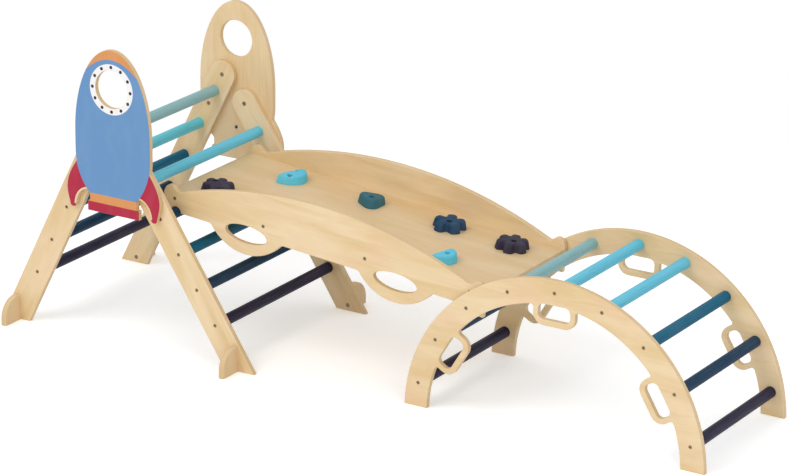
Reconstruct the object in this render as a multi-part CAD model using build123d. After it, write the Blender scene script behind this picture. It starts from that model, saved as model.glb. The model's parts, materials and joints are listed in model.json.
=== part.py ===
from build123d import *
import os
from math import asin, cos, degrees, pi, radians, sin, sqrt

# Toddler climbing set of three free pieces hooked together: a folding climbing triangle between
# two rocket shaped plates, a ramp with climbing holds, and an arch ladder with hand loops.
# X runs from the triangle to the arch, Y across the set, Z up, and the floor is Z = 0.
# Sizes are millimetres. The near side is the one towards minus Y.

# Stock
ply = 15.0
rung_radius = 15.0
edge_round = 2.0

# Running and seating gaps
fold_gap = 0.3
hook_gap = 0.3
bolt_gap = 0.05
head_gap = 0.3

# Ladder legs
leg_width = 78.0
ladder_width = 551.0

# Ramp ladder, the side of the triangle that carries the ramp
ramp_pivot_height = 524.6
ramp_lean = 33.3
ramp_rung_first = 84.0
ramp_rung_pitch = 102.5
ramp_rungs = 5
ramp_hook_rung = 2

# Back ladder
back_pivot_rise = 69.7
back_lean = 26.8
back_rung_first = 54.0
back_rung_pitch = 112.0
back_rungs = 5
lock_distance = 98.4
pivot_spread = 72.0

# Floor stabilisers, quarter round plates bolted across the feet of the legs
stabiliser_reach = 66.0
stabiliser_height = 72.0
stabiliser_radius = 54.0
stabiliser_bolt_height = 15.7

# Rocket plates, heights counted upwards from the plate's lower edge
plate_drop = 166.6
nozzle_half_width = 81.0
nozzle_height = 26.0
neck_half_width = 74.0
neck_height = 23.0
tail_base_half_width = 75.0
tail_height = 113.0
body_half_width = 118.0
body_height = 50.0
nose_height = 231.0
porthole_radius = 51.0
porthole_below_tip = 104.0
fin_half_span = 146.0
fin_root_top = 131.0
fin_root_low = 58.0
fin_tip_height = 1.0
fin_tip_outer = 138.0
fin_tip_inner = 119.0
fin_crease = 97.0
parking_insert_height = 90.7

# Ramp, drawn along u from the ladder rung to the arch rung, with v square to it
ramp_span = 890.0
ramp_side_gap = 1.8
crown_rise = 137.0
crown_ends = 54.0
end_reach = 40.0
hook_drop = 20.0
lobe_offset = 20.0
lobe_height = 52.0
lobe_radius = 18.5
bulge_offset = 226.0
bulge_radius = 137.0
bulge_depth = 55.0
hand_hole_length = 128.0
hand_hole_height = 47.0
blend_radius = 14.0
deck_height = 29.5
deck_screw_places = (-6.0, 270.0, 578.0, 886.0)

# Climbing holds
hold_height = 21.0
hold_taper = 0.86
hold_round = 4.0
hold_edge = 96.5
bean_bolt_spacing = 38.0
bean_half_length = 45.0
bean_half_width = 25.0
bean_bend = 14.0
star_radius = 38.5
star_lobe = 6.5
pentagon_radius = 35.0
pentagon_lobe = 8.5
wedge_radius = 31.0
wedge_lobe = 4.0
curve_steps_per_lobe = 10
bean_curve_steps = 28

# Arch ladder
arch_width = 446.6
arch_radius = 425.0
arch_band = 66.0
arch_sink = 12.0
arch_rungs = 9
arch_rung_angle = 19.7
arch_hook_rung = 3
loop_angle = 59.0
loop_length = 118.0
loop_depth = 56.0
loop_rim = 16.0
loop_corner = 30.0
loop_hole_corner = 15.0
loop_blend = 8.0

# Rung bolts and the threaded inserts in the rung ends
screw_head_radius = 4.75
screw_head_height = 3.0
screw_head_sink = 0.6
screw_shank_radius = 3.0
screw_length = 32.0
rung_insert_radius = 5.0
rung_insert_length = 13.0

# Joint bolts of the plates, the lock and the stabilisers, and the inserts in the plates
bolt_head_radius = 6.0
bolt_head_height = 3.0
bolt_head_sink = 0.5
bolt_shank_radius = 4.0
plate_insert_radius = 6.0
plate_insert_length = 12.0
plate_bolt_bite = 10.0
stabiliser_bolt_bite = 38.0
socket_across = 5.0
socket_depth = 2.0

# Hold bolts and tee nuts
hold_head_radius = 6.5
hold_head_height = 6.0
hold_head_sink = 2.0
tee_flange_radius = 11.0
tee_flange = 1.5
tee_barrel_radius = 5.5
tee_barrel_length = 11.0

# Places worked out from the sizes, with X = 0 on the rockets' centre line
ladder_half = ladder_width / 2
back_half = ladder_half
ramp_half = ladder_half - fold_gap
ramp_pivot = (pivot_spread / 2, ramp_pivot_height)
back_pivot = (-pivot_spread / 2, ramp_pivot_height + back_pivot_rise)
plate_base = ramp_pivot_height - plate_drop
ring_mid = arch_radius - arch_band / 2
ramp_width = arch_width - 2 * (ply + ramp_side_gap)
hold_row = ramp_width / 2 - ply - hold_edge


def down_leg(pivot, lean, distance):
    """Point on a leg's centre line, a distance below its pivot."""
    angle = radians(lean)
    return (pivot[0] + sin(angle) * distance, pivot[1] - cos(angle) * distance)


hook_point = down_leg(ramp_pivot, ramp_lean, ramp_rung_first + (ramp_hook_rung - 1) * ramp_rung_pitch)
hook_angle = radians((arch_hook_rung - (arch_rungs + 1) / 2) * arch_rung_angle)
arch_hook_z = ring_mid * cos(hook_angle) - arch_sink
ramp_fall = asin((hook_point[1] - arch_hook_z) / ramp_span)
arch_x = hook_point[0] + ramp_span * cos(ramp_fall) - ring_mid * sin(hook_angle)
back_foot_x = down_leg(back_pivot, -back_lean, back_pivot[1] / cos(radians(back_lean)))[0]
set_left = back_foot_x - leg_width / 2 / cos(radians(back_lean))
set_right = arch_x + sqrt(arch_radius**2 - arch_sink**2)
set_shift = Pos(-(set_left + set_right) / 2, 0, 0)
ramp_place = Pos(hook_point[0], 0, hook_point[1]) * Rot(0, degrees(ramp_fall), 0)
far_beyond = 3 * ladder_width

nodes = {}


def board(outline, y_low):
    """Plywood board cut from an outline in the XZ plane, with softened edges."""
    sheet = extrude(Plane.XZ.offset(-(y_low + ply)) * outline, amount=ply)
    return fillet(sheet.faces().filter_by(Axis.Y).edges(), edge_round)


def rod(point, radius, y_low, y_high):
    """Round bar along Y at a point of the XZ plane."""
    return extrude(Plane.XZ.offset(-y_high) * Pos(*point) * Circle(radius), amount=y_high - y_low)


def far_twin(part):
    """Same part on the far side of the set."""
    return mirror(part, about=Plane.XZ)


def both_sides(parts):
    """Group of separate solids: the near ones and their far twins."""
    return list(parts) + [far_twin(part) for part in parts]


def hex_bolt(head_radius, head_height, shank_radius, length):
    """Bolt hanging down from the top of its head at Z = 0, with a hexagon socket."""
    head = extrude(Circle(head_radius), amount=-head_height)
    shank = Pos(0, 0, -head_height) * extrude(Circle(shank_radius), amount=-length)
    socket = extrude(RegularPolygon(socket_across / 2, 6, major_radius=False), amount=-socket_depth)
    return head + shank - socket


def bolt_void(sink, head_radius, head_height, shank_radius, length):
    """Hole for a bolt whose head's top lies a sink below the surface at Z = 0."""
    pocket = extrude(Circle(head_radius + head_gap), amount=-(sink + head_height))
    return pocket + extrude(Circle(shank_radius + bolt_gap), amount=-(sink + head_height + length))


def tube(outer_radius, inner_radius, length):
    """Sleeve hanging down from Z = 0."""
    return extrude(Circle(outer_radius) - Circle(inner_radius), amount=-length)


def facing_near(point, y):
    """Frame at a point, its Z towards the near side."""
    return Plane(origin=(point[0], y, point[1]), x_dir=(1, 0, 0), z_dir=(0, -1, 0))


def facing_far(point, y):
    """Frame at a point, its Z towards the far side."""
    return Plane(origin=(point[0], y, point[1]), x_dir=(1, 0, 0), z_dir=(0, 1, 0))


def rung_bolt():
    return Pos(0, 0, -screw_head_sink) * hex_bolt(
        screw_head_radius, screw_head_height, screw_shank_radius, screw_length
    )


def rung_bolt_void():
    return bolt_void(
        screw_head_sink, screw_head_radius, screw_head_height, screw_shank_radius, screw_length
    )


def rung_with_pilots(point, half_inside):
    """Round rung between two boards, bored at each end for an insert and its bolt."""
    bar = rod(point, rung_radius, -half_inside, half_inside)
    bite = screw_length + screw_head_height + screw_head_sink - ply + 1
    bore = extrude(Circle(rung_insert_radius), amount=-rung_insert_length)
    bore += extrude(Circle(screw_shank_radius + bolt_gap), amount=-bite)
    near = facing_near(point, -half_inside) * bore
    return bar - near - far_twin(near)


def rung_set(name, points, half_outer):
    """Rungs between two boards with their end bolts and inserts."""
    half_inside = half_outer - ply
    bolts = []
    inserts = []
    sleeve = tube(rung_insert_radius, screw_shank_radius + bolt_gap, rung_insert_length)
    for number, point in enumerate(points, start=1):
        nodes[f"{name}_rung_{number}"] = rung_with_pilots(point, half_inside)
        bolts.append(facing_near(point, -half_outer) * rung_bolt())
        inserts.append(facing_near(point, -half_inside) * sleeve)
    nodes[f"{name}_rung_bolts"] = both_sides(bolts)
    nodes[f"{name}_rung_inserts"] = both_sides(inserts)


def joint_bolt(bite):
    """Bolt whose head is sunk in the inner face of a leg and that bites past its outer face."""
    length = ply - bolt_head_sink - bolt_head_height + bite
    return Pos(0, 0, -bolt_head_sink) * hex_bolt(
        bolt_head_radius, bolt_head_height, bolt_shank_radius, length
    )


def joint_bolt_void(bite):
    length = ply - bolt_head_sink - bolt_head_height + bite
    return bolt_void(bolt_head_sink, bolt_head_radius, bolt_head_height, bolt_shank_radius, length)


def stabiliser(x, half_outer):
    """Quarter round plate standing square to the leg's outer face."""
    shape = Rectangle(stabiliser_reach, stabiliser_height, align=(Align.MIN, Align.MIN))
    corner = shape.vertices().sort_by(Axis.X)[-2:].sort_by(Axis.Y)[-1]
    shape = fillet(corner, stabiliser_radius)
    side = Plane(origin=(x + ply / 2, -half_outer, 0), x_dir=(0, -1, 0), z_dir=(-1, 0, 0))
    plate = extrude(side * shape, amount=ply)
    return fillet(plate.faces().filter_by(Axis.X).edges().filter_by(GeomType.CIRCLE), edge_round)


def ladder(name, pivot, lean, first, pitch, count, half_outer, extra_bolts):
    """Two legs with their rungs, stabilisers and the bolt holes of the plate joints."""
    points = [down_leg(pivot, lean, first + pitch * index) for index in range(count)]
    length = pivot[1] / cos(radians(lean)) + leg_width
    blade = Circle(leg_width / 2) + Pos(0, -length / 2) * Rectangle(leg_width, length)
    outline = Pos(*pivot) * Rot(0, 0, lean) * blade
    above_floor = Pos(pivot[0], far_beyond / 2) * Rectangle(far_beyond, far_beyond)
    leg = board(outline & above_floor, -half_outer)
    for point in points:
        leg -= facing_near(point, -half_outer) * rung_bolt_void()
    for point in extra_bolts:
        leg -= facing_far(point, -half_outer + ply) * joint_bolt_void(0)
    foot_distance = (pivot[1] - stabiliser_bolt_height) / cos(radians(lean))
    foot = down_leg(pivot, lean, foot_distance)
    foot_frame = facing_far(foot, -half_outer + ply)
    leg -= foot_frame * joint_bolt_void(0)
    nodes[f"{name}_leg_near"] = leg
    nodes[f"{name}_leg_far"] = far_twin(leg)
    plate = stabiliser(foot[0], half_outer) - foot_frame * joint_bolt_void(stabiliser_bolt_bite)
    nodes[f"{name}_stabiliser_near"] = plate
    nodes[f"{name}_stabiliser_far"] = far_twin(plate)
    nodes[f"{name}_stabiliser_bolts"] = both_sides([foot_frame * joint_bolt(stabiliser_bolt_bite)])
    rung_set(name, points, half_outer)


def rocket_outline():
    """Rocket silhouette with its two fins, from the nozzle's lower edge at Y = 0 up to the tip."""
    neck_base = nozzle_height
    tail_base = neck_base + neck_height
    body_base = tail_base + tail_height
    nose_base = body_base + body_height
    tip = nose_base + nose_height
    waist = body_half_width - tail_base_half_width
    tail_radius = (waist**2 + tail_height**2) / (2 * waist)
    tail_centre = body_half_width - tail_radius
    mid_height = tail_base + tail_height / 2
    mid_width = tail_centre + sqrt(tail_radius**2 - (body_base - mid_height) ** 2)
    half = [
        Line((0, 0), (nozzle_half_width, 0)),
        Line((nozzle_half_width, 0), (nozzle_half_width, neck_base)),
        Line((nozzle_half_width, neck_base), (neck_half_width, neck_base)),
        Line((neck_half_width, neck_base), (neck_half_width, tail_base)),
        Line((neck_half_width, tail_base), (tail_base_half_width, tail_base)),
        ThreePointArc(
            (tail_base_half_width, tail_base), (mid_width, mid_height), (body_half_width, body_base)
        ),
        Line((body_half_width, body_base), (body_half_width, nose_base)),
        EllipticalCenterArc((0, nose_base), body_half_width, nose_height, 0, arc_size=90),
        Line((0, tip), (0, 0)),
    ]
    hull = make_face(half)

    def tail_edge(height):
        return tail_centre + sqrt(tail_radius**2 - (body_base - height) ** 2)

    root_top = (tail_edge(fin_root_top) - edge_round, fin_root_top)
    root_low = (tail_edge(fin_root_low) - edge_round, fin_root_low)
    inside = (root_low[0], fin_root_top)
    tip_outer = (fin_tip_outer, fin_tip_height + (fin_tip_outer - fin_tip_inner) / 2)
    tip_inner = (fin_tip_inner, tip_outer[1])
    tip_low = ((fin_tip_outer + fin_tip_inner) / 2, fin_tip_height)
    sweep = (fin_half_span, fin_tip_height + (fin_root_top - fin_tip_height) / 3)
    crease = (fin_crease, fin_root_low - (fin_tip_inner - fin_crease) / 3)
    fin = make_face(
        [
            Spline(root_top, sweep, tip_outer, tangents=[(1, -1.3), (-0.25, -1)]),
            ThreePointArc(tip_outer, tip_low, tip_inner),
            Spline(tip_inner, crease, root_low, tangents=[(-0.15, 1), (-1, 0.55)]),
            Line(root_low, inside),
            Line(inside, root_top),
        ]
    )
    right = hull + fin
    return right + mirror(right, about=Plane.YZ)


def rocket_plates():
    """The two rocket plates, their threaded inserts and the bolts of the four leg joints."""
    outline = Pos(0, plate_base) * rocket_outline()
    tip = plate_base + nozzle_height + neck_height + tail_height + body_height + nose_height
    porthole = Pos(0, tip - porthole_below_tip) * Circle(porthole_radius)
    plate = board(outline - porthole, -ladder_half - ply)
    lock = down_leg(back_pivot, -back_lean, lock_distance)
    parking = (0, plate_base + parking_insert_height)
    face = -ladder_half
    inserts = []
    for point in (ramp_pivot, back_pivot, lock, parking):
        frame = facing_far(point, face)
        plate -= frame * extrude(Circle(plate_insert_radius), amount=-plate_insert_length)
        sleeve = tube(plate_insert_radius, bolt_shank_radius + bolt_gap, plate_insert_length)
        inserts.append(frame * sleeve)
    nodes["rocket_plate_near"] = plate
    nodes["rocket_plate_far"] = far_twin(plate)
    nodes["rocket_plate_inserts"] = both_sides(inserts)
    inner = -back_half + ply
    nodes["back_pivot_bolts"] = both_sides([facing_far(back_pivot, inner) * joint_bolt(plate_bolt_bite)])
    nodes["back_lock_bolts"] = both_sides([facing_far(lock, inner) * joint_bolt(plate_bolt_bite)])
    fold_frame = facing_far(ramp_pivot, -ramp_half + ply + head_gap)
    fold_bite = plate_bolt_bite + head_gap
    nodes["fold_pivot_bolts"] = both_sides([fold_frame * joint_bolt(fold_bite)])
    return lock


def ramp_side_outline():
    """Curved side of the ramp with two hook ends and two bulges with hand holes."""
    middle = ramp_span / 2
    rise = crown_rise - crown_ends
    crown_radius = (middle**2 + rise**2) / (2 * rise)
    crown = Pos(middle, crown_rise - crown_radius) * Circle(crown_radius)
    beam = crown & Pos(middle, crown_rise / 2) * Rectangle(ramp_span, crown_rise)
    below_deck = Pos(middle, -far_beyond / 2 + deck_height) * Rectangle(far_beyond, far_beyond)
    outline = beam
    for side in (-1, 1):
        bulge = Pos(middle + side * bulge_offset, bulge_radius - bulge_depth) * Circle(bulge_radius)
        outline += bulge & below_deck
        end = middle + side * (middle + lobe_offset)
        outline += Pos(end, lobe_height) * Circle(lobe_radius)
        cheek = end_reach * 2
        hook = Rectangle(cheek, lobe_height + hook_drop, align=(Align.CENTER, Align.MIN))
        outline += Pos(middle + side * middle, -hook_drop) * hook
    outline = offset(offset(outline, amount=blend_radius), amount=-blend_radius)
    mouth_half = rung_radius + hook_gap
    for side in (-1, 1):
        rung = middle + side * middle
        outline -= Pos(rung, 0) * Circle(mouth_half)
        mouth = Rectangle(2 * end_reach, 2 * hook_drop, align=(Align.CENTER, Align.MAX))
        outline -= Pos(rung + side * (mouth_half - end_reach), 0) * mouth
        hole = Ellipse(hand_hole_length / 2, hand_hole_height / 2)
        outline -= Pos(middle + side * bulge_offset, 0) * hole
    return outline


def build_ramp():
    """Ramp sides, deck and screws in the ramp's own frame, then set on its two rungs."""
    side = board(ramp_side_outline(), -ramp_width / 2)
    inner = ramp_width / 2 - ply
    deck_middle = deck_height + ply / 2
    deck = Pos(ramp_span / 2, 0, deck_middle) * Box(ramp_span + 2 * end_reach, 2 * inner, ply)
    bolts = []
    for place in deck_screw_places:
        frame = facing_near((place, deck_middle), -ramp_width / 2)
        side -= frame * rung_bolt_void()
        near_void = frame * rung_bolt_void()
        deck = deck - near_void - far_twin(near_void)
        bolts.append(frame * rung_bolt())
    nodes["ramp_side_near"] = ramp_place * side
    nodes["ramp_side_far"] = ramp_place * far_twin(side)
    nodes["ramp_deck_screws"] = [ramp_place * bolt for bolt in both_sides(bolts)]
    return deck


def closed_curve(points):
    """Face inside one smooth closed curve."""
    return make_face(Spline(*points, periodic=True))


def lobed_face(radius, depth, lobes, scale):
    """Flower shape whose radius swings by a depth a number of times."""
    count = curve_steps_per_lobe * lobes
    points = []
    for step in range(count):
        angle = 2 * pi * step / count
        reach = (radius + depth * cos(lobes * angle)) * scale
        points.append((reach * cos(angle), reach * sin(angle)))
    return closed_curve(points)


def bean_face(half_length, half_width, bend, scale):
    """Kidney shape, long along Y."""
    points = []
    for step in range(bean_curve_steps):
        angle = 2 * pi * step / bean_curve_steps
        across = half_width * cos(angle) + bend * sin(angle) ** 2 - bend / 2
        points.append((across * scale, half_length * sin(angle) * scale))
    return closed_curve(points)


def star_hold(scale):
    return lobed_face(star_radius, star_lobe, 6, scale)


def pentagon_hold(scale):
    return lobed_face(pentagon_radius, pentagon_lobe, 5, scale)


def wedge_hold(scale):
    return lobed_face(wedge_radius, wedge_lobe, 3, scale)


def bean_hold(scale):
    return bean_face(bean_half_length, bean_half_width, bean_bend, scale)


def moulded_hold(face):
    """Tapered hold with a softened top edge, standing on Z = 0."""
    body = loft([face(1).face(), (Pos(0, 0, hold_height) * face(hold_taper)).face()])
    return fillet(body.faces().sort_by(Axis.Z)[-1].edges(), hold_round)


# Shape, place along the ramp, row across it, and turn of each climbing hold
hold_plan = (
    (star_hold, 43.0, -1, 0, ((0, 0),)),
    (bean_hold, 157.0, 1, 12, ((0, -bean_bolt_spacing / 2), (0, bean_bolt_spacing / 2))),
    (pentagon_hold, 279.0, -1, 36, ((0, 0),)),
    (wedge_hold, 404.0, 1, 95, ((0, 0),)),
    (wedge_hold, 515.0, -1, 40, ((0, 0),)),
    (pentagon_hold, 642.0, 1, 8, ((0, 0),)),
    (wedge_hold, 751.0, -1, 150, ((0, 0),)),
    (star_hold, 834.0, 1, 0, ((0, 0),)),
)


def build_deck(deck):
    """Deck with its climbing holds, each bolted to tee nuts under the deck."""
    top = deck_height + ply
    bolt_length = hold_height - hold_head_sink - hold_head_height + ply
    bolts = []
    nuts = []
    nut_hole = extrude(Circle(tee_barrel_radius), amount=tee_barrel_length)
    pass_hole = extrude(Circle(bolt_shank_radius + bolt_gap), amount=ply)
    nut = extrude(Circle(tee_flange_radius), amount=-tee_flange)
    nut += extrude(Circle(tee_barrel_radius), amount=tee_barrel_length)
    bore = extrude(Circle(bolt_shank_radius + bolt_gap), amount=tee_barrel_length + tee_flange)
    nut -= Pos(0, 0, -tee_flange) * bore
    void = bolt_void(
        hold_head_sink, hold_head_radius, hold_head_height, bolt_shank_radius, bolt_length
    )
    bolt = Pos(0, 0, -hold_head_sink) * hex_bolt(
        hold_head_radius, hold_head_height, bolt_shank_radius, bolt_length
    )
    for number, (face, along, row, turn, holes) in enumerate(hold_plan, start=1):
        seat = Pos(along, row * hold_row, top) * Rot(0, 0, turn)
        hold = moulded_hold(face)
        for hole in holes:
            head = Pos(hole[0], hole[1], hold_height)
            hold -= head * void
            under = Pos(hole[0], hole[1], -ply)
            deck -= seat * under * nut_hole
            deck -= seat * under * pass_hole
            bolts.append(ramp_place * seat * head * bolt)
            nuts.append(ramp_place * seat * under * nut)
        nodes[f"climbing_hold_{number}"] = ramp_place * seat * hold
    nodes["climbing_deck"] = ramp_place * deck
    nodes["hold_bolts"] = bolts
    nodes["hold_tee_nuts"] = nuts


def build_arch():
    """Arch ladder: two band shaped sides with three hand loops each, and its rungs."""
    inner_radius = arch_radius - arch_band
    middle = (arch_x, -arch_sink)
    outline = Circle(arch_radius) - Circle(inner_radius)
    holes = Sketch()
    hole_depth = loop_depth - loop_rim
    hole_length = loop_length - 2 * loop_rim + 2 * edge_round
    for angle in (-loop_angle, 0, loop_angle):
        turn = Rot(0, 0, angle)
        reach = loop_depth + arch_band / 2
        loop = Pos(0, inner_radius - loop_depth + reach / 2)
        outline += turn * loop * RectangleRounded(loop_length, reach, loop_corner)
        hole = Pos(0, inner_radius - hole_depth / 2)
        holes += turn * hole * RectangleRounded(hole_length, hole_depth, loop_hole_corner)
    outline = offset(offset(outline, amount=loop_blend), amount=-loop_blend) - holes
    above_floor = Pos(arch_x, far_beyond / 2) * Rectangle(far_beyond, far_beyond)
    side = board((Pos(*middle) * outline) & above_floor, -arch_width / 2)
    points = []
    for index in range(arch_rungs):
        angle = radians((index - (arch_rungs - 1) / 2) * arch_rung_angle)
        points.append((middle[0] + ring_mid * sin(angle), middle[1] + ring_mid * cos(angle)))
    for point in points:
        side -= facing_near(point, -arch_width / 2) * rung_bolt_void()
    nodes["arch_side_near"] = side
    nodes["arch_side_far"] = far_twin(side)
    rung_set("arch", points, arch_width / 2)


lock_point = rocket_plates()
ladder(
    "back_ladder", back_pivot, -back_lean, back_rung_first, back_rung_pitch, back_rungs,
    back_half, (back_pivot, lock_point),
)
ladder(
    "ramp_ladder", ramp_pivot, ramp_lean, ramp_rung_first, ramp_rung_pitch, ramp_rungs,
    ramp_half, (ramp_pivot,),
)
build_deck(build_ramp())
build_arch()

os.makedirs("parts", exist_ok=True)
for node, shape in nodes.items():
    pieces = shape if isinstance(shape, list) else [shape]
    solids = [set_shift * solid for piece in pieces for solid in piece.solids()]
    whole = solids[0] if len(solids) == 1 else Compound(children=solids)
    whole.label = node
    export_step(whole, f"parts/{node}.step")
print(len(nodes), "nodes written")
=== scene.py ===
import json
import math

import bmesh
import bpy
from mathutils import Matrix, Vector


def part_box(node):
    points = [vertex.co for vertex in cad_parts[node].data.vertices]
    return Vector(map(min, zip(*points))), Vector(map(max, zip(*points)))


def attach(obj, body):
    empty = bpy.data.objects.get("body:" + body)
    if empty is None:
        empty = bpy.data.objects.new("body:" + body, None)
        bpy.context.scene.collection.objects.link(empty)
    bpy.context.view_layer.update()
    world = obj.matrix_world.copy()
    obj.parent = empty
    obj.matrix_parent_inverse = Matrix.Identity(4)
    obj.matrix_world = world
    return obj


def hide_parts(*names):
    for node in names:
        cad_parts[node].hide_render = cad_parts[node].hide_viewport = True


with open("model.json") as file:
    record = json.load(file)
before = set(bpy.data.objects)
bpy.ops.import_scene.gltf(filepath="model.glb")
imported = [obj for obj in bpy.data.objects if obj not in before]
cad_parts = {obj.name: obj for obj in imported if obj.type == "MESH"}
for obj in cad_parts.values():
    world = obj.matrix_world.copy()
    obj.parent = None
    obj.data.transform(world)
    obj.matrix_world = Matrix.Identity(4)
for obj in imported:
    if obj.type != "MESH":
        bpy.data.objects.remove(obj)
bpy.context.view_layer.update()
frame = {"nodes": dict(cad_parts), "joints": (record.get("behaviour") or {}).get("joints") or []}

MM = 0.001

# Directions: those of the set, and those of the ramp from its lift off joint
ALONG = Vector((1, 0, 0))
ACROSS = Vector((0, 1, 0))
UP = Vector((0, 0, 1))
lift_joint = next(joint for joint in frame["joints"] if joint["name"] == "ramp_lift_off")
ramp_up = Vector(lift_joint["axis"]).normalized()
ramp_run = Vector((ramp_up.z, 0, -ramp_up.x))

# The photograph's frame and the camera that its perspective gives
PHOTO_WIDTH = 788
SENSOR_WIDTH = 36.0
FOCAL_PIXELS = 3707.2
CAMERA_PLACE = Vector((4.7352, -7.6199, 3.4772))
CAMERA_YAW = math.radians(31.77)
CAMERA_PITCH = math.radians(19.28)
CAMERA_ROLL = math.radians(0.61)
CAMERA_CLIP = (0.1, 200.0)

# Colours as they are seen, in sRGB
WOOD_LIGHT = "EBD3AB"
WOOD_DARK = "DDBF8C"
WOOD_PINK = "E6C29C"
WOOD_FIBRE = "C9A36C"
PLY_CROSS = "CEB08A"
PLY_GLUE = "A5855A"
PRINT_BLUE = "6492C4"
PRINT_ORANGE = "D99456"
PRINT_RED = "B0123B"
PRINT_WHITE = "F2F1F3"
PRINT_BLACK = "23222A"
PAINT = {
    "light_blue": "69C5DE",
    "grey_teal": "8EB8BB",
    "blue_teal": "68CADA",
    "teal": "0E607E",
    "navy": "0A3450",
    "dark_purple": "27233B",
}
HOLD = {
    "light_blue": "5EC4DE",
    "teal": "2E6674",
    "navy": "123C5C",
    "dark_purple": "2D263B",
}
STEEL_DARK = "9C8772"
STEEL_ZINC = "B9BABA"
FLOOR_WHITE = "FAFAFA"
FLOOR_SHADE = "F4F4F4"
WHITE = "FFFFFF"

# Rungs in the order of their numbers
BACK_RUNGS = ("grey_teal", "blue_teal", "teal", "navy", "dark_purple")
RAMP_RUNGS = ("light_blue", "navy", "teal", "navy", "dark_purple")
ARCH_RUNGS = (
    "dark_purple", "navy", "teal", "grey_teal", "light_blue",
    "light_blue", "teal", "navy", "dark_purple",
)

# Birch grain: noise scales along the grain, across it and through the board, per metre
DRIFT_SCALE = (1.6, 6.0, 9.0)
FIGURE_SCALE = (2.4, 16.0, 16.0)
WAVE_SCALE = (5.0, 60.0, 60.0)
FIBRE_SCALE = (28.0, 1500.0, 1500.0)
BLOTCH_SCALE = (7.0, 10.0, 10.0)

# Birch grain: the noise values between which a tone comes in, and how far it does
FIGURE_SPAN = (0.32, 0.68)
BLOTCH_SPAN = (0.45, 0.75)
BLOTCH_SHARE = 0.55
DRIFT_SPAN = (0.5, 0.8)
DRIFT_SHARE = 0.35
WAVE_SPAN = (0.55, 0.72)
WAVE_SHARE = 0.22
FIBRE_SPAN = (0.58, 0.72)
FIBRE_SHARE = 0.3

# Edges of the boards: eleven plies, every other one in end grain, with glue between them.
# Distances through the board are in plies.
PLIES = 11
CROSS_STARTS = (0.48, 0.52)
CROSS_ENDS = (1.0, 0.96)
CROSS_SHARE = 0.75
GLUE_REACH = (0.09, 0.03)
GLUE_FREE_FACE = (0.3, 0.7)
GLUE_SHARE = 0.55
PORE_SCALE = (1300.0, 1300.0, 400.0)
PORE_SPAN = (0.35, 0.7)
PLY_STREAK_SCALE = 40.0
PLY_STREAK_STEP = 3.7
PLY_STREAK_SHARE = 0.5

# Clear lacquer of the boards
WOOD_ROUGH = 0.42
FIBRE_ROUGH = 0.16
CROSS_ROUGH = 0.12
FIBRE_RELIEF = 0.5
WAVE_RELIEF = 0.25
PORE_RELIEF = 0.6
GLUE_RELIEF = 0.8
WOOD_BUMP = 0.12 * MM
LACQUER = 0.12
LACQUER_ROUGH = 0.35

# Print on the plates: how it lies on the wood
MOTTLE_SCALE = (9.0, 22.0, 22.0)
MOTTLE_SPAN = (0.4, 0.8)
MOTTLE_SHARE = 0.03
WOOD_THROUGH_PRINT = 0.08
PRINT_ROUGH = 0.36
MOTTLE_ROUGH = 0.12
PRINT_BUMP = 0.08 * MM
PRINT_COAT = 0.04
PRINT_SHINE = 0.35

# Paint of the rungs, which lie along Y
PAINT_STREAK_SCALE = (420.0, 9.0, 420.0)
PAINT_CLOUD_SCALE = (18.0, 5.0, 18.0)
PAINT_FINE_SCALE = (1800.0, 60.0, 1800.0)
PAINT_THIN_SPAN = (0.5, 0.75)
PAINT_THIN_SHARE = 0.03
PAINT_GRAIN_SPAN = (0.5, 0.25)
PAINT_GRAIN_SHARE = 0.25
PAINT_GRAIN = "1C2028"
PAINT_CLOUD_SPAN = (0.45, 0.8)
PAINT_CLOUD_SHARE = 0.02
PAINT_ROUGH = 0.36
PAINT_CLOUD_ROUGH = 0.16
PAINT_STREAK_RELIEF = 0.6
PAINT_FINE_RELIEF = 0.4
PAINT_BUMP = 0.09 * MM
PAINT_SHINE = 0.1

# Cast resin of the holds
RESIN_GRAIN_SCALE = 900.0
RESIN_PIT_SCALE = 330.0
RESIN_CLOUD_SCALE = 24.0
RESIN_CLOUD_SPAN = (0.35, 0.7)
RESIN_CLOUD_SHARE = 0.02
RESIN_GRAIN_SPAN = (0.55, 0.8)
RESIN_GRAIN_SHARE = 0.06
# Painted shade in the pits, where the bump dips: the noise values over which it comes in, how far,
# and its near-black colour
RESIN_PIT_SHADE_SPAN = (0.4, 0.2)
RESIN_PIT_SHADE_SHARE = 0.5
RESIN_PIT_SHADE = "14161C"
RESIN_ROUGH = 0.58
RESIN_GRAIN_ROUGH = 0.2
RESIN_GRAIN_RELIEF = 0.5
RESIN_PIT_RELIEF = 0.7
RESIN_BUMP = 0.3 * MM
RESIN_SHINE = 0.25

# Steel of the fastenings
STEEL_MARK_SCALE = (1500.0, 90.0, 1500.0)
STEEL_SPOT_SCALE = 420.0
STEEL_SPOT_SPAN = (0.45, 0.7)
STEEL_SPOT_SHARE = 0.45
STEEL_SPOT = "2A211B"
STEEL_BUMP = 0.04 * MM
STEEL_DARK_ROUGH = 0.34
STEEL_DARK_BRUSHED = 0.2
STEEL_ZINC_ROUGH = 0.28
STEEL_ZINC_BRUSHED = 0.25

# Print on the rocket plates: heights above the floor and widths from the plate's middle line
NOSE_BAND_TOP = 776 * MM
NOSE_BAND_DROP = 28 * MM
NOSE_BAND_HALF = 70 * MM
NECK_TOP = 407 * MM
NOZZLE_TOP = 384 * MM
PORTHOLE_HEIGHT = 697 * MM
RING_RADIUS = 67.5 * MM
RIVET_CIRCLE = 59.6 * MM
RIVET_RADIUS = 4.6 * MM
RIVETS = 12
PRINT_WRAP = 1.3 * MM
TAIL_BASE = 407 * MM
BODY_BASE = 520 * MM
TAIL_BASE_HALF = 75 * MM
BODY_HALF = 118 * MM
FIN_TOP = 489 * MM
FIN_BARE_BASE = 368.5 * MM
FIN_BARE_HALF_IN = 76 * MM
FIN_BARE_REACH = 47.5 * MM
FIN_BARE_RISE = 52 * MM
HULL_MARGIN = 7 * MM


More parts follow.
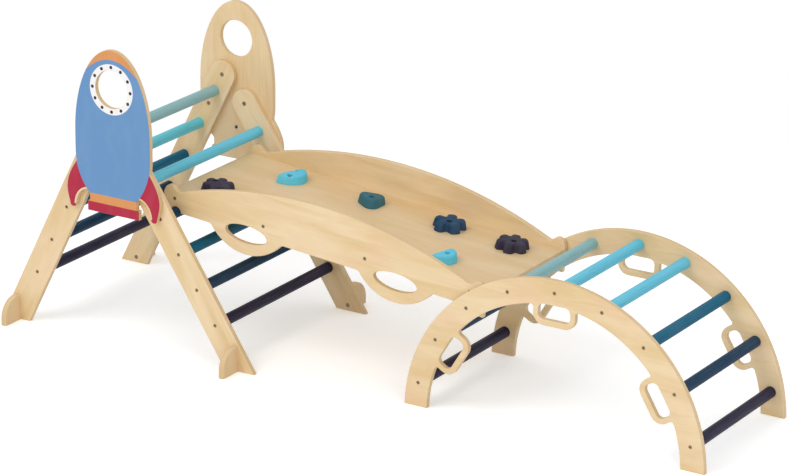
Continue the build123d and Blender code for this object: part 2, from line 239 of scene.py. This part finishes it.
def linear(code):
    """Linear colour of an sRGB code."""
    values = []
    for start in (0, 2, 4):
        value = int(code[start:start + 2], 16) / 255
        values.append(value / 12.92 if value <= 0.04045 else ((value + 0.055) / 1.055) ** 2.4)
    return (*values, 1.0)


class Graph:
    """A material's node tree, with short calls for its nodes."""

    def __init__(self, name):
        self.material = bpy.data.materials.new(name)
        self.material.use_nodes = True
        self.tree = self.material.node_tree
        self.tree.nodes.clear()
        self.output = self.tree.nodes.new("ShaderNodeOutputMaterial")

    def node(self, kind, inputs=(), **settings):
        made = self.tree.nodes.new(kind)
        for key, value in settings.items():
            setattr(made, key, value)
        for key, value in dict(inputs).items():
            self.put(made.inputs[key], value)
        return made

    def put(self, socket, value):
        if isinstance(value, bpy.types.NodeSocket):
            self.tree.links.new(value, socket)
        elif isinstance(value, str):
            socket.default_value = linear(value)
        else:
            socket.default_value = value

    def math(self, operation, first, second=0.0, clamp=False):
        made = self.node("ShaderNodeMath", {0: first, 1: second}, operation=operation)
        made.use_clamp = clamp
        return made.outputs[0]

    def add(self, first, second):
        return self.math("ADD", first, second)

    def times(self, first, second):
        return self.math("MULTIPLY", first, second)

    def above(self, first, second):
        return self.math("GREATER_THAN", first, second)

    def below(self, first, second):
        return self.math("LESS_THAN", first, second)

    def along(self, vector, direction):
        """Distance of a point along a direction."""
        made = self.node("ShaderNodeVectorMath", {0: vector}, operation="DOT_PRODUCT")
        made.inputs[1].default_value = direction
        return made.outputs["Value"]

    def join(self, x, y, z):
        return self.node("ShaderNodeCombineXYZ", {0: x, 1: y, 2: z}).outputs[0]

    def ramp(self, value, low, high):
        """0 at the low value, 1 at the high one, and a smooth rise between."""
        inputs = {"Value": value, "From Min": low, "From Max": high}
        return self.node("ShaderNodeMapRange", inputs, interpolation_type="SMOOTHSTEP").outputs[0]

    def blend(self, factor, first, second, mode="MIX"):
        made = self.node("ShaderNodeMix", data_type="RGBA", blend_type=mode)
        self.put(made.inputs["Factor"], factor)
        self.put(made.inputs[6], first)
        self.put(made.inputs[7], second)
        return made.outputs[2]

    def noise(self, vector, scale, detail=3.0, rough=0.5, distortion=0.0):
        inputs = {
            "Vector": vector, "Scale": scale, "Detail": detail,
            "Roughness": rough, "Distortion": distortion,
        }
        return self.node("ShaderNodeTexNoise", inputs).outputs["Fac"]

    def stretch(self, vector, scale):
        made = self.node("ShaderNodeVectorMath", {0: vector}, operation="MULTIPLY")
        made.inputs[1].default_value = scale
        return made.outputs[0]

    def bump(self, height, distance):
        inputs = {"Height": height, "Distance": distance, "Strength": 1.0}
        return self.node("ShaderNodeBump", inputs).outputs[0]

    def place(self):
        """Place in the part's own frame, which stays with the piece when it moves."""
        return self.node("ShaderNodeTexCoord").outputs["Object"]

    def finish(self, colour, rough, normal, metallic=0.0, coat=0.0, coat_rough=0.3, specular=0.5):
        shader = self.node("ShaderNodeBsdfPrincipled")
        self.put(shader.inputs["Base Color"], colour)
        self.put(shader.inputs["Roughness"], rough)
        self.put(shader.inputs["Normal"], normal)
        shader.inputs["Metallic"].default_value = metallic
        shader.inputs["Coat Weight"].default_value = coat
        shader.inputs["Coat Roughness"].default_value = coat_rough
        shader.inputs["Specular IOR Level"].default_value = specular
        self.tree.links.new(shader.outputs[0], self.output.inputs["Surface"])
        return self.material


def node_points(name):
    return [v.co for v in frame["nodes"][name].data.vertices]


def extent(name, direction):
    """Least and greatest distance of a node along a direction."""
    reach = [p.dot(direction) for p in node_points(name)]
    return min(reach), max(reach)


def centre(name):
    low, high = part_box(name)
    return (low + high) / 2


def cover(name, material):
    """Gives a CAD node's material slots one material."""
    piece = frame["nodes"][name]
    if not piece.material_slots:
        piece.data.materials.append(material)
    for slot in piece.material_slots:
        slot.link = "OBJECT"
        slot.material = material


def wood_colours(g, local, depth, thickness):
    """Colour, roughness and bump height of birch plywood at a place in the board's own frame."""
    drift = g.noise(g.stretch(local, DRIFT_SCALE), 1.0, detail=2.0)
    figure = g.noise(g.stretch(local, FIGURE_SCALE), 1.0, detail=4.0, rough=0.6, distortion=0.6)
    wave = g.noise(g.stretch(local, WAVE_SCALE), 1.0, detail=3.0, rough=0.6, distortion=0.4)
    fibre = g.noise(g.stretch(local, FIBRE_SCALE), 1.0, detail=3.0, rough=0.7)
    blotch = g.noise(g.stretch(local, BLOTCH_SCALE), 1.0, detail=2.0)
    tone = g.blend(g.ramp(figure, *FIGURE_SPAN), WOOD_DARK, WOOD_LIGHT)
    tone = g.blend(g.times(g.ramp(blotch, *BLOTCH_SPAN), BLOTCH_SHARE), tone, WOOD_PINK)
    tone = g.blend(g.times(g.ramp(drift, *DRIFT_SPAN), DRIFT_SHARE), tone, WOOD_DARK)
    tone = g.blend(g.times(g.ramp(wave, *WAVE_SPAN), WAVE_SHARE), tone, WOOD_FIBRE)
    tone = g.blend(g.times(g.ramp(fibre, *FIBRE_SPAN), FIBRE_SHARE), tone, WOOD_FIBRE)

    layer = g.times(depth, PLIES / thickness)
    pair = g.math("FRACT", g.times(layer, 0.5))
    cross = g.times(g.ramp(pair, *CROSS_STARTS), g.ramp(pair, *CROSS_ENDS))
    seam = g.math("ABSOLUTE", g.math("SUBTRACT", g.math("FRACT", g.add(layer, 0.5)), 0.5))
    from_face = g.math("PINGPONG", layer, PLIES / 2)
    glue = g.times(g.ramp(seam, *GLUE_REACH), g.ramp(from_face, *GLUE_FREE_FACE))
    pores = g.noise(g.stretch(local, PORE_SCALE), 1.0, detail=2.0, rough=0.7)
    number = g.math("FLOOR", layer)
    streak_along = g.times(g.along(local, ALONG), PLY_STREAK_SCALE)
    streak = g.noise(g.join(streak_along, g.times(number, PLY_STREAK_STEP), 0.0), 1.0)
    end_grain = g.blend(g.ramp(pores, *PORE_SPAN), PLY_CROSS, WOOD_FIBRE)
    end_grain = g.blend(g.times(streak, PLY_STREAK_SHARE), end_grain, WOOD_DARK)
    tone = g.blend(g.times(cross, CROSS_SHARE), tone, end_grain)
    tone = g.blend(g.times(glue, GLUE_SHARE), tone, PLY_GLUE)

    rough = g.add(WOOD_ROUGH, g.times(fibre, FIBRE_ROUGH))
    rough = g.add(rough, g.times(cross, CROSS_ROUGH))
    height = g.add(g.times(fibre, FIBRE_RELIEF), g.times(wave, WAVE_RELIEF))
    height = g.add(height, g.times(pores, g.times(cross, PORE_RELIEF)))
    height = g.math("SUBTRACT", height, g.times(glue, GLUE_RELIEF))
    return tone, rough, height


def board_frame(g, place, grain, stack, start):
    """A place in a board's own frame, along its grain, across it and through it, and that depth."""
    across = stack.cross(grain)
    depth = g.math("SUBTRACT", g.along(place, stack), start)
    return g.join(g.along(place, grain), g.along(place, across), depth), depth


def plywood(name, grain, stack, start, thickness):
    g = Graph(name)
    local, depth = board_frame(g, g.place(), grain, stack, start)
    tone, rough, height = wood_colours(g, local, depth, thickness)
    return g.finish(tone, rough, g.bump(height, WOOD_BUMP), coat=LACQUER, coat_rough=LACQUER_ROUGH)


def rocket_print(g, place, x_middle):
    """Colours of the flat print, and how far the print reaches, by place on the plate."""
    x = g.math("ABSOLUTE", g.math("SUBTRACT", g.along(place, ALONG), x_middle))
    z = g.along(place, UP)
    share = g.math("DIVIDE", x, NOSE_BAND_HALF)
    band_edge = g.math("SUBTRACT", NOSE_BAND_TOP, g.times(g.times(share, share), NOSE_BAND_DROP))
    colour = g.blend(g.above(z, band_edge), PRINT_BLUE, PRINT_ORANGE)
    colour = g.blend(g.below(z, NECK_TOP), colour, PRINT_ORANGE)
    colour = g.blend(g.below(z, NOZZLE_TOP), colour, PRINT_RED)

    rise = BODY_BASE - TAIL_BASE
    waist = BODY_HALF - TAIL_BASE_HALF
    tail_radius = (waist ** 2 + rise ** 2) / (2 * waist)
    drop = g.math("SUBTRACT", BODY_BASE, z)
    inside = g.math("SUBTRACT", tail_radius ** 2, g.times(drop, drop))
    tail_edge = g.add(g.math("SQRT", inside), BODY_HALF - tail_radius)
    in_fin = g.times(g.above(x, tail_edge), g.times(g.below(z, FIN_TOP), g.above(z, TAIL_BASE)))
    below_hull = g.times(g.above(x, TAIL_BASE_HALF + HULL_MARGIN), g.below(z, TAIL_BASE))
    in_fin = g.math("MAXIMUM", in_fin, below_hull)
    colour = g.blend(in_fin, colour, PRINT_RED)
    right = g.math("DIVIDE", g.math("SUBTRACT", x, FIN_BARE_HALF_IN), FIN_BARE_REACH)
    up = g.math("DIVIDE", g.math("SUBTRACT", z, FIN_BARE_BASE), FIN_BARE_RISE)
    oval = g.add(g.times(right, right), g.times(up, up))
    bare = g.times(in_fin, g.times(g.below(oval, 1.0), g.above(up, 0.0)))

    dz = g.math("SUBTRACT", z, PORTHOLE_HEIGHT)
    radius = g.math("SQRT", g.add(g.times(x, x), g.times(dz, dz)))
    colour = g.blend(g.below(radius, RING_RADIUS), colour, PRINT_WHITE)
    turn = g.math("ARCTAN2", x, dz)
    folded = g.math("PINGPONG", turn, math.pi / RIVETS)
    chord = g.add(g.times(radius, radius), RIVET_CIRCLE ** 2)
    reach = g.times(radius, 2 * RIVET_CIRCLE)
    chord = g.math("SUBTRACT", chord, g.times(reach, g.math("COSINE", folded)))
    colour = g.blend(g.below(chord, RIVET_RADIUS ** 2), colour, PRINT_BLACK)
    return colour, bare


def printed_plywood(name, side, thickness):
    """Plywood of a rocket plate, its outer face printed in flat colours."""
    g = Graph(name)
    place = g.place()
    low, high = extent(name, ACROSS)
    local, depth = board_frame(g, place, UP, ACROSS, low)
    tone, rough, height = wood_colours(g, local, depth, thickness)
    x_low, x_high = extent(name, ALONG)
    colour, bare = rocket_print(g, place, (x_low + x_high) / 2)
    y = g.along(place, ACROSS)
    printed = g.below(y, low + PRINT_WRAP) if side < 0 else g.above(y, high - PRINT_WRAP)
    printed = g.math("SUBTRACT", printed, bare, clamp=True)
    mottle = g.noise(g.stretch(local, MOTTLE_SCALE), 1.0, detail=4.0)
    colour = g.blend(g.times(g.ramp(mottle, *MOTTLE_SPAN), MOTTLE_SHARE), colour, WHITE)
    colour = g.blend(WOOD_THROUGH_PRINT, colour, tone, mode="MULTIPLY")
    tone = g.blend(printed, tone, colour)
    rough = g.blend(printed, rough, g.add(PRINT_ROUGH, g.times(mottle, MOTTLE_ROUGH)))
    return g.finish(tone, rough, g.bump(height, PRINT_BUMP), coat=PRINT_COAT, specular=PRINT_SHINE)


def paint(name, code):
    """Satin paint over turned birch: faint grain along the rung and a few thin spots."""
    g = Graph(name)
    place = g.place()
    streak = g.noise(g.stretch(place, PAINT_STREAK_SCALE), 1.0, detail=4.0, rough=0.65)
    cloud = g.noise(g.stretch(place, PAINT_CLOUD_SCALE), 1.0, detail=3.0)
    fine = g.noise(g.stretch(place, PAINT_FINE_SCALE), 1.0, detail=2.0)
    colour = g.blend(g.times(g.ramp(streak, *PAINT_THIN_SPAN), PAINT_THIN_SHARE), code, WHITE)
    grain = g.times(g.ramp(streak, *PAINT_GRAIN_SPAN), PAINT_GRAIN_SHARE)
    colour = g.blend(grain, colour, PAINT_GRAIN)
    colour = g.blend(g.times(g.ramp(cloud, *PAINT_CLOUD_SPAN), PAINT_CLOUD_SHARE), colour, WHITE)
    rough = g.add(PAINT_ROUGH, g.times(cloud, PAINT_CLOUD_ROUGH))
    height = g.add(g.times(streak, PAINT_STREAK_RELIEF), g.times(fine, PAINT_FINE_RELIEF))
    return g.finish(colour, rough, g.bump(height, PAINT_BUMP), specular=PAINT_SHINE)


def moulded(name, code):
    """Matt cast resin of the holds, with a sandy grain and painted shade darkening its pits."""
    g = Graph(name)
    place = g.place()
    grain = g.noise(place, RESIN_GRAIN_SCALE, detail=3.0, rough=0.7)
    pits = g.noise(place, RESIN_PIT_SCALE, detail=2.0, rough=0.6)
    cloud = g.noise(place, RESIN_CLOUD_SCALE, detail=2.0)
    colour = g.blend(g.times(g.ramp(cloud, *RESIN_CLOUD_SPAN), RESIN_CLOUD_SHARE), code, WHITE)
    colour = g.blend(g.times(g.ramp(grain, *RESIN_GRAIN_SPAN), RESIN_GRAIN_SHARE), colour, WHITE)
    # Painted shade: the pits, where the bump dips, darken towards near black
    colour = g.blend(g.times(g.ramp(pits, *RESIN_PIT_SHADE_SPAN), RESIN_PIT_SHADE_SHARE), colour, RESIN_PIT_SHADE)
    rough = g.add(RESIN_ROUGH, g.times(grain, RESIN_GRAIN_ROUGH))
    height = g.add(g.times(grain, RESIN_GRAIN_RELIEF), g.times(pits, RESIN_PIT_RELIEF))
    return g.finish(colour, rough, g.bump(height, RESIN_BUMP), specular=RESIN_SHINE)


def steel(name, code, rough_least, brushed):
    """Bolt steel with fine turning marks and darker spots."""
    g = Graph(name)
    place = g.place()
    marks = g.noise(g.stretch(place, STEEL_MARK_SCALE), 1.0, detail=3.0)
    spots = g.noise(place, STEEL_SPOT_SCALE, detail=3.0, rough=0.7)
    spotted = g.times(g.ramp(spots, *STEEL_SPOT_SPAN), STEEL_SPOT_SHARE)
    colour = g.blend(spotted, code, STEEL_SPOT)
    rough = g.add(rough_least, g.times(marks, brushed))
    return g.finish(colour, rough, g.bump(g.add(marks, spots), STEEL_BUMP), metallic=1.0)


def ladder_run(name, rungs):
    """Direction down a ladder, from its first rung to its last."""
    run = centre(f"{name}_rung_{rungs}") - centre(f"{name}_rung_1")
    run.y = 0
    return run.normalized()


def dress_board(node, grain, stack):
    low, high = extent(node, stack)
    cover(node, plywood(node, grain, stack, low, high - low))


def dress_rungs(name, colours, paints):
    for number, colour in enumerate(colours, start=1):
        cover(f"{name}_rung_{number}", paints[colour])


def dress_frame():
    """Materials of every CAD node that stays in view."""
    paints = {name: paint(f"paint_{name}", code) for name, code in PAINT.items()}
    back_run = ladder_run("back_ladder", len(BACK_RUNGS))
    side_run = ladder_run("ramp_ladder", len(RAMP_RUNGS))
    for side in ("near", "far"):
        dress_board(f"back_ladder_leg_{side}", back_run, ACROSS)
        dress_board(f"ramp_ladder_leg_{side}", side_run, ACROSS)
        dress_board(f"back_ladder_stabiliser_{side}", UP, ALONG)
        dress_board(f"ramp_ladder_stabiliser_{side}", UP, ALONG)
        dress_board(f"ramp_side_{side}", ramp_run, ACROSS)
        dress_board(f"arch_side_{side}", ALONG, ACROSS)
        plate = f"rocket_plate_{side}"
        low, high = extent(plate, ACROSS)
        cover(plate, printed_plywood(plate, -1 if side == "near" else 1, high - low))
    dress_board("climbing_deck", ramp_run, ramp_up)
    dress_rungs("back_ladder", BACK_RUNGS, paints)
    dress_rungs("ramp_ladder", RAMP_RUNGS, paints)
    dress_rungs("arch", ARCH_RUNGS, paints)
    dark = steel("dark_steel", STEEL_DARK, STEEL_DARK_ROUGH, STEEL_DARK_BRUSHED)
    zinc = steel("zinc_steel", STEEL_ZINC, STEEL_ZINC_ROUGH, STEEL_ZINC_BRUSHED)
    for node in frame["nodes"]:
        if node.endswith(("_bolts", "_screws")):
            cover(node, dark)
        elif node.endswith(("_inserts", "_nuts")):
            cover(node, zinc)


# The rung of the ramp ladder that the ramp hooks over, from which places along the ramp count
RAMP_HOOK_RUNG = 2

# Climbing holds, in millimetres: two rows, one on each side of the ramp's middle line
HOLD_HEIGHT = 25.0
HOLD_ROW = 95.0
HOLD_STEPS = 120
HOLD_SHARP = math.radians(35)
HOLD_CROWN_ONSET = 4
HOLD_RECESS_RADIUS = 6.8
HOLD_RECESS_FLARE = 1.12
HOLD_RECESS_DEPTH = 12.0
HOLD_RECESS_STEPS = 48
BEAN_BOLTS = 19.0
BEAN_BOLT_TURN = math.radians(12.0)

# Outlines and tops of the holds: lobes, bends, ridges and slopes
STAR_LOBES = 6
STAR_RADIUS = 38.5
STAR_LOBE = 6.5
STAR_RIDGE = 0.9
PENTAGON_LOBES = 5
PENTAGON_RADIUS = 37.0
PENTAGON_LOBE = 8.0
PENTAGON_RIDGE = 1.6
WEDGE_LOBES = 3
WEDGE_RADIUS = 34.0
WEDGE_LOBE = 4.4
WEDGE_SLOPE = -0.11
BEAN_HALF_WIDTH = 24.0
BEAN_HALF_LENGTH = 49.0
BEAN_BEND = 20.0
BEAN_CROWN = 1.2
BEAN_SLOPE = 0.05
DROP_SHARE = 0.86
CROWN = 1.5
SQUARE_LOBES = 2.2
SOFT_LOBES = 0.6
LOBE_WIDTH = 0.4

# Rings of a hold from its foot over the rim to its middle: share of the outline and of the height
HOLD_PROFILE = (
    (0.985, 0.0), (1.0, 0.04), (0.995, 0.12), (0.97, 0.3), (0.945, 0.5), (0.925, 0.68),
    (0.9, 0.82), (0.865, 0.92), (0.81, 0.98), (0.74, 1.0), (0.6, 1.0), (0.45, 1.0), (0.3, 1.0),
    (0.15, 1.0),
)


def squared(value, hardness):
    """A wave with flatter crests, so that lobes get square shoulders."""
    return math.tanh(hardness * value) / math.tanh(hardness)


def star_curve(turn):
    wave = math.cos(STAR_LOBES * turn) + LOBE_WIDTH
    reach = STAR_RADIUS + STAR_LOBE * squared(wave, SQUARE_LOBES)
    return reach * math.cos(turn), reach * math.sin(turn)


def pentagon_curve(turn):
    wave = math.cos(PENTAGON_LOBES * turn) + LOBE_WIDTH
    reach = PENTAGON_RADIUS + PENTAGON_LOBE * squared(wave, SQUARE_LOBES)
    return reach * math.cos(turn), reach * math.sin(turn)


def wedge_curve(turn):
    reach = WEDGE_RADIUS + WEDGE_LOBE * squared(math.cos(WEDGE_LOBES * turn), SOFT_LOBES)
    return reach * math.cos(turn), reach * math.sin(turn)


def bean_curve(turn):
    bend = BEAN_BEND * (math.sin(turn) ** 2 - 0.5)
    return BEAN_HALF_WIDTH * math.cos(turn) + bend, BEAN_HALF_LENGTH * math.sin(turn)


def drop_curve(turn):
    """The bean in a smaller size."""
    x, y = bean_curve(turn)
    return DROP_SHARE * x, DROP_SHARE * y


def star_top(turn, share, x, y):
    return STAR_RIDGE * share * math.cos(STAR_LOBES * turn) - CROWN * share


def pentagon_top(turn, share, x, y):
    return PENTAGON_RIDGE * share * math.cos(PENTAGON_LOBES * turn) - CROWN * share


def wedge_top(turn, share, x, y):
    return WEDGE_SLOPE * x - CROWN * share ** 2


def bean_top(turn, share, x, y):
    return -BEAN_CROWN * share ** 2 - BEAN_SLOPE * abs(y)


# Outline, top surface, colour, place along the ramp, row, turn, bolts, and how far the body's
# middle lies from its bolts (along the ramp and across it)
HOLDS = (
    (star_curve, star_top, "dark_purple", 43.0, -1, 43.5, 1, (14.0, -6.0)),
    (bean_curve, bean_top, "light_blue", 157.0, 1, 164.0, 2, (1.0, 7.0)),
    (pentagon_curve, pentagon_top, "navy", 279.0, -1, 36.0, 1, (0.0, 0.0)),
    (wedge_curve, wedge_top, "teal", 404.0, 1, 60.0, 1, (-5.0, 11.0)),
    (wedge_curve, wedge_top, "light_blue", 515.0, -1, 40.0, 1, (0.0, 0.0)),
    (pentagon_curve, pentagon_top, "navy", 642.0, 1, 37.0, 1, (-6.0, 11.0)),
    (drop_curve, bean_top, "light_blue", 751.0, -1, 168.0, 1, (-7.0, 4.0)),
    (star_curve, star_top, "dark_purple", 834.0, 1, 43.5, 1, (-8.0, 8.0)),
)


def hold_body(mesh, curve, top):
    """Closed surface of a hold: rings from its foot over the rim to the middle."""
    shell = bmesh.new()
    rings = []
    for share, lift in HOLD_PROFILE:
        ring = []
        for step in range(HOLD_STEPS):
            turn = 2 * math.pi * step / HOLD_STEPS
            x, y = (value * share for value in curve(turn))
            height = HOLD_HEIGHT * lift + top(turn, share, x, y) * lift ** HOLD_CROWN_ONSET
            ring.append(shell.verts.new(Vector((x, y, height)) * MM))
        rings.append(ring)
    for low, high in zip(rings, rings[1:]):
        for step in range(HOLD_STEPS):
            after = (step + 1) % HOLD_STEPS
            shell.faces.new((low[step], low[after], high[after], high[step]))
    shell.faces.new(rings[0][::-1])
    shell.faces.new(rings[-1])
    bmesh.ops.recalc_face_normals(shell, faces=shell.faces)
    shell.to_mesh(mesh)
    shell.free()


def cut_recesses(piece, places):
    """Cuts the bolt recesses into a hold."""
    for x, y in places:
        mesh = bpy.data.meshes.new("cutter")
        drill = bmesh.new()
        radius = HOLD_RECESS_RADIUS * MM
        depth = 2 * HOLD_RECESS_DEPTH * MM
        bmesh.ops.create_cone(
            drill, cap_ends=True, segments=HOLD_RECESS_STEPS,
            radius1=radius, radius2=radius * HOLD_RECESS_FLARE, depth=depth,
        )
        drill.to_mesh(mesh)
        drill.free()
        cutter = bpy.data.objects.new("cutter", mesh)
        bpy.context.scene.collection.objects.link(cutter)
        cutter.location = Vector((x, y, HOLD_HEIGHT)) * MM
        cut = piece.modifiers.new("recess", "BOOLEAN")
        cut.operation = "DIFFERENCE"
        cut.solver = "EXACT"
        cut.object = cutter
        bpy.context.view_layer.update()
        graph = bpy.context.evaluated_depsgraph_get()
        piece.data = bpy.data.meshes.new_from_object(piece.evaluated_get(graph))
        piece.modifiers.clear()
        bpy.data.objects.remove(cutter)


def bolt_places(turn, bolts, middle):
    """Places of a hold's bolts in its own frame, in millimetres."""
    back = Matrix.Rotation(-math.radians(turn), 2)
    shift = back @ -Vector(middle)
    if bolts == 1:
        return [shift]
    reach = back @ Vector((-math.sin(BEAN_BOLT_TURN), math.cos(BEAN_BOLT_TURN))) * BEAN_BOLTS
    return [shift - reach, shift + reach]


def soften(piece, angle):
    """Smooth shading, with sharp edges where two faces meet at more than an angle."""
    shell = bmesh.new()
    shell.from_mesh(piece.data)
    for face in shell.faces:
        face.smooth = True
    for edge in shell.edges:
        if len(edge.link_faces) == 2 and edge.calc_face_angle() > angle:
            edge.smooth = False
    shell.to_mesh(piece.data)
    shell.free()


def build_holds():
    finishes = {name: moulded(f"hold_{name}", code) for name, code in HOLD.items()}
    hook = centre(f"ramp_ladder_rung_{RAMP_HOOK_RUNG}")
    hook.y = 0
    deck_top = extent("climbing_deck", ramp_up)[1] - hook.dot(ramp_up)
    for number, hold in enumerate(HOLDS, start=1):
        curve, top, colour, along, row, turn, bolts, middle = hold
        piece = bpy.data.objects.new(f"hold_{number}", bpy.data.meshes.new(f"hold_{number}"))
        bpy.context.scene.collection.objects.link(piece)
        hold_body(piece.data, curve, top)
        cut_recesses(piece, bolt_places(turn, bolts, middle))
        soften(piece, HOLD_SHARP)
        seat = hook + ramp_run * (along + middle[0]) * MM + ramp_up * deck_top
        seat += ACROSS * (row * HOLD_ROW + middle[1]) * MM
        axes = Matrix((ramp_run, ACROSS, ramp_up)).transposed().to_4x4()
        turned = Matrix.Rotation(math.radians(turn), 4, "Z")
        piece.matrix_world = Matrix.Translation(seat) @ axes @ turned
        piece.data.materials.clear()
        piece.data.materials.append(finishes[colour])
        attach(piece, "ramp")
        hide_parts(f"climbing_hold_{number}")


dress_frame()
build_holds()


# Stage: pale floor, white surroundings and soft lamps, in metres and watts
FLOOR_RADIUS = 40.0
FLOOR_STEPS = 64
FLOOR_CLOUD_SCALE = 0.8
FLOOR_CLOUD_SHARE = 0.1
FLOOR_FADE_START = 1.2
FLOOR_FADE_END = 2.6
FLOOR_LIFT = 0.3
WORLD_FILL = 0.7
LAMP_TARGET = (0, 0, 0.2)
KEY_PLACE = (-1.9, -4.6, 5.4)
KEY_SIZE = 4.0
KEY_POWER = 138.0
FILL_PLACE = (4.6, -3.0, 3.2)
FILL_SIZE = 3.5
FILL_POWER = 66.0


def build_floor():
    mesh = bpy.data.meshes.new("floor")
    rim = [
        (FLOOR_RADIUS * math.cos(turn), FLOOR_RADIUS * math.sin(turn), 0.0)
        for turn in (2 * math.pi * step / FLOOR_STEPS for step in range(FLOOR_STEPS))
    ]
    mesh.from_pydata(rim, [], [tuple(range(len(rim)))])
    floor = bpy.data.objects.new("floor", mesh)
    bpy.context.scene.collection.objects.link(floor)
    g = Graph("floor")
    place = g.place()
    cloud = g.noise(place, FLOOR_CLOUD_SCALE, detail=2.0)
    matt = g.node("ShaderNodeBsdfDiffuse")
    g.put(matt.inputs["Color"], g.blend(g.times(cloud, FLOOR_CLOUD_SHARE), FLOOR_WHITE, FLOOR_SHADE))
    glow = g.node("ShaderNodeEmission", {"Color": WHITE, "Strength": 1.0})
    path = g.node("ShaderNodeLightPath").outputs
    seen = g.math("MAXIMUM", path["Is Camera Ray"], path["Is Glossy Ray"])
    seen = g.math("MAXIMUM", seen, path["Is Transmission Ray"])
    lift = g.node("ShaderNodeEmission", {"Color": WHITE, "Strength": g.times(seen, FLOOR_LIFT)})
    near = g.node("ShaderNodeAddShader", {0: matt.outputs[0], 1: lift.outputs[0]})
    far = g.node("ShaderNodeVectorMath", {0: place}, operation="LENGTH").outputs["Value"]
    fade = g.times(g.ramp(far, FLOOR_FADE_START, FLOOR_FADE_END), seen)
    mixed = g.node("ShaderNodeMixShader", {0: fade, 1: near.outputs[0], 2: glow.outputs[0]})
    g.tree.links.new(mixed.outputs[0], g.output.inputs["Surface"])
    floor.data.materials.append(g.material)


def build_world():
    world = bpy.data.worlds.new("world")
    world.use_nodes = True
    bpy.context.scene.world = world
    tree = world.node_tree
    background = tree.nodes["Background"]
    background.inputs["Color"].default_value = (1.0, 1.0, 1.0, 1.0)
    path = tree.nodes.new("ShaderNodeLightPath").outputs
    seen = tree.nodes.new("ShaderNodeMath")
    seen.operation = "MAXIMUM"
    tree.links.new(path["Is Camera Ray"], seen.inputs[0])
    tree.links.new(path["Is Glossy Ray"], seen.inputs[1])
    through = tree.nodes.new("ShaderNodeMath")
    through.operation = "MAXIMUM"
    tree.links.new(seen.outputs[0], through.inputs[0])
    tree.links.new(path["Is Transmission Ray"], through.inputs[1])
    level = tree.nodes.new("ShaderNodeMapRange")
    level.inputs["To Min"].default_value = WORLD_FILL
    level.inputs["To Max"].default_value = 1.0
    tree.links.new(through.outputs[0], level.inputs["Value"])
    tree.links.new(level.outputs[0], background.inputs["Strength"])


def soft_lamp(name, place, size, power):
    lamp = bpy.data.lights.new(name, "AREA")
    lamp.shape = "DISK"
    lamp.size = size
    lamp.energy = power
    made = bpy.data.objects.new(name, lamp)
    made.location = place
    made.rotation_mode = "QUATERNION"
    made.rotation_quaternion = (Vector(LAMP_TARGET) - Vector(place)).to_track_quat("-Z", "Y")
    bpy.context.scene.collection.objects.link(made)


def build_camera():
    """Camera at the photograph's place, as its perspective gives it."""
    look = Vector((
        -math.sin(CAMERA_YAW) * math.cos(CAMERA_PITCH),
        math.cos(CAMERA_YAW) * math.cos(CAMERA_PITCH),
        -math.sin(CAMERA_PITCH),
    ))
    right = Vector((math.cos(CAMERA_YAW), math.sin(CAMERA_YAW), 0.0))
    up = right.cross(look)
    x_axis = right * math.cos(CAMERA_ROLL) + up * math.sin(CAMERA_ROLL)
    y_axis = up * math.cos(CAMERA_ROLL) - right * math.sin(CAMERA_ROLL)
    data = bpy.data.cameras.new("camera")
    data.sensor_fit = "HORIZONTAL"
    data.sensor_width = SENSOR_WIDTH
    data.lens = FOCAL_PIXELS / PHOTO_WIDTH * SENSOR_WIDTH
    data.clip_start, data.clip_end = CAMERA_CLIP
    camera = bpy.data.objects.new("camera", data)
    turn = Matrix((x_axis, y_axis, -look)).transposed()
    camera.matrix_world = Matrix.Translation(CAMERA_PLACE) @ turn.to_4x4()
    bpy.context.scene.collection.objects.link(camera)
    bpy.context.scene.camera = camera


build_floor()
build_world()
soft_lamp("key", KEY_PLACE, KEY_SIZE, KEY_POWER)
soft_lamp("fill", FILL_PLACE, FILL_SIZE, FILL_POWER)
build_camera()
bpy.context.scene.view_settings.view_transform = "Standard"
